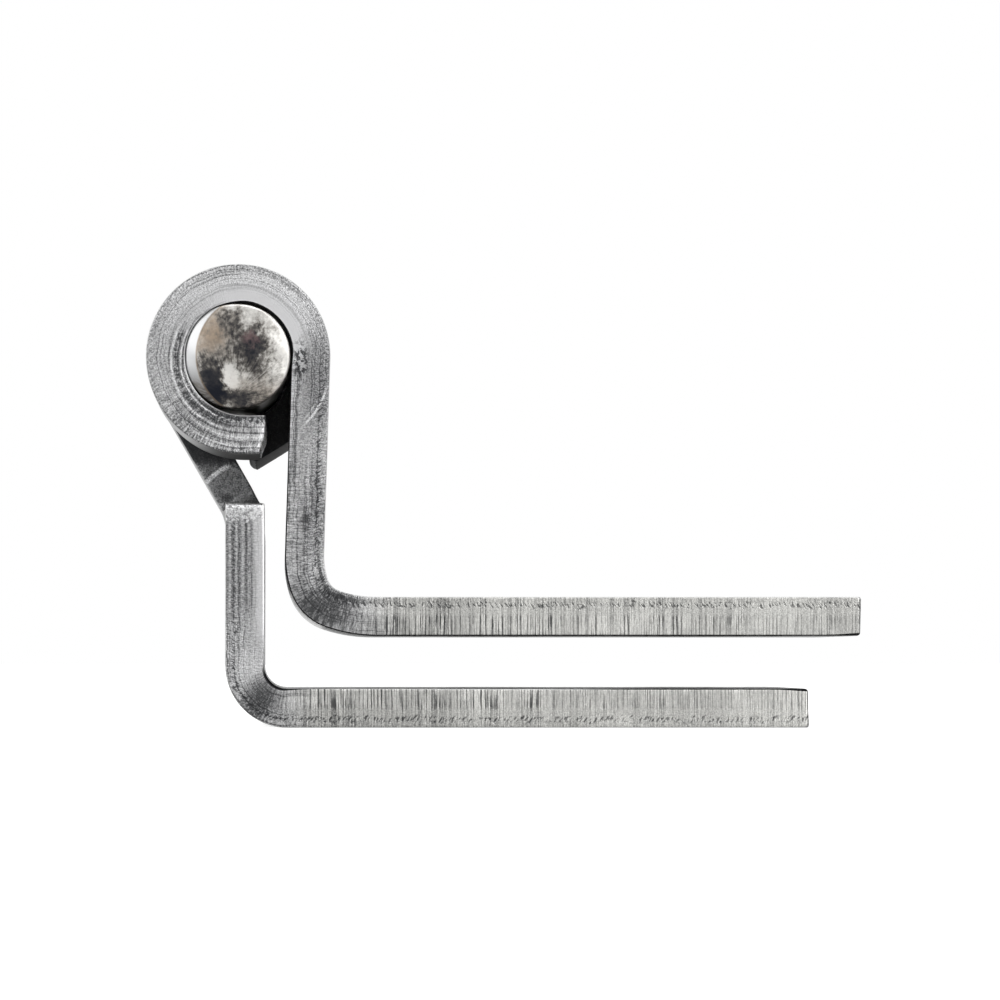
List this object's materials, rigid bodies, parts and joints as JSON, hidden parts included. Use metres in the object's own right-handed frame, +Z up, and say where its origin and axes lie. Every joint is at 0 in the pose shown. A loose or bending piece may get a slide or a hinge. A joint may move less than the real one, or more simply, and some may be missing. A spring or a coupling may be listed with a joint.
{
  "type": "cranked hinge",
  "caption": "Cranked steel hinge: two L-shaped leaves rolled round one pin, the plates lying parallel with a gap when closed.",
  "frame": {"origin": "centre of the whole object's footprint, on the lower plate's underside", "axes": "+X from the pin towards the plates' free ends, +Y along the pin from the short knuckle to the long one, +Z up from the lower plate to the pin"},
  "size_m": [0.055, 0.0516, 0.0356],
  "materials": {
    "leaf_steel": "bare sheared strip, fine scratches across the cut edges",
    "pin_steel": "polished, with brownish mottling on the crowned ends"
  },
  "bodies": {
    "lower": {"lower_leaf": "leaf_steel", "hinge_pin": "pin_steel"},
    "upper": {"upper_leaf": "leaf_steel"}
  },
  "joints": [
    {"name": "swing", "type": "hinge", "parent": "lower", "child": "upper", "pos_m": [-0.02042, 0, 0.02856], "axis": [0, -1, 0], "range_deg": [-5, 313]}
  ]
}
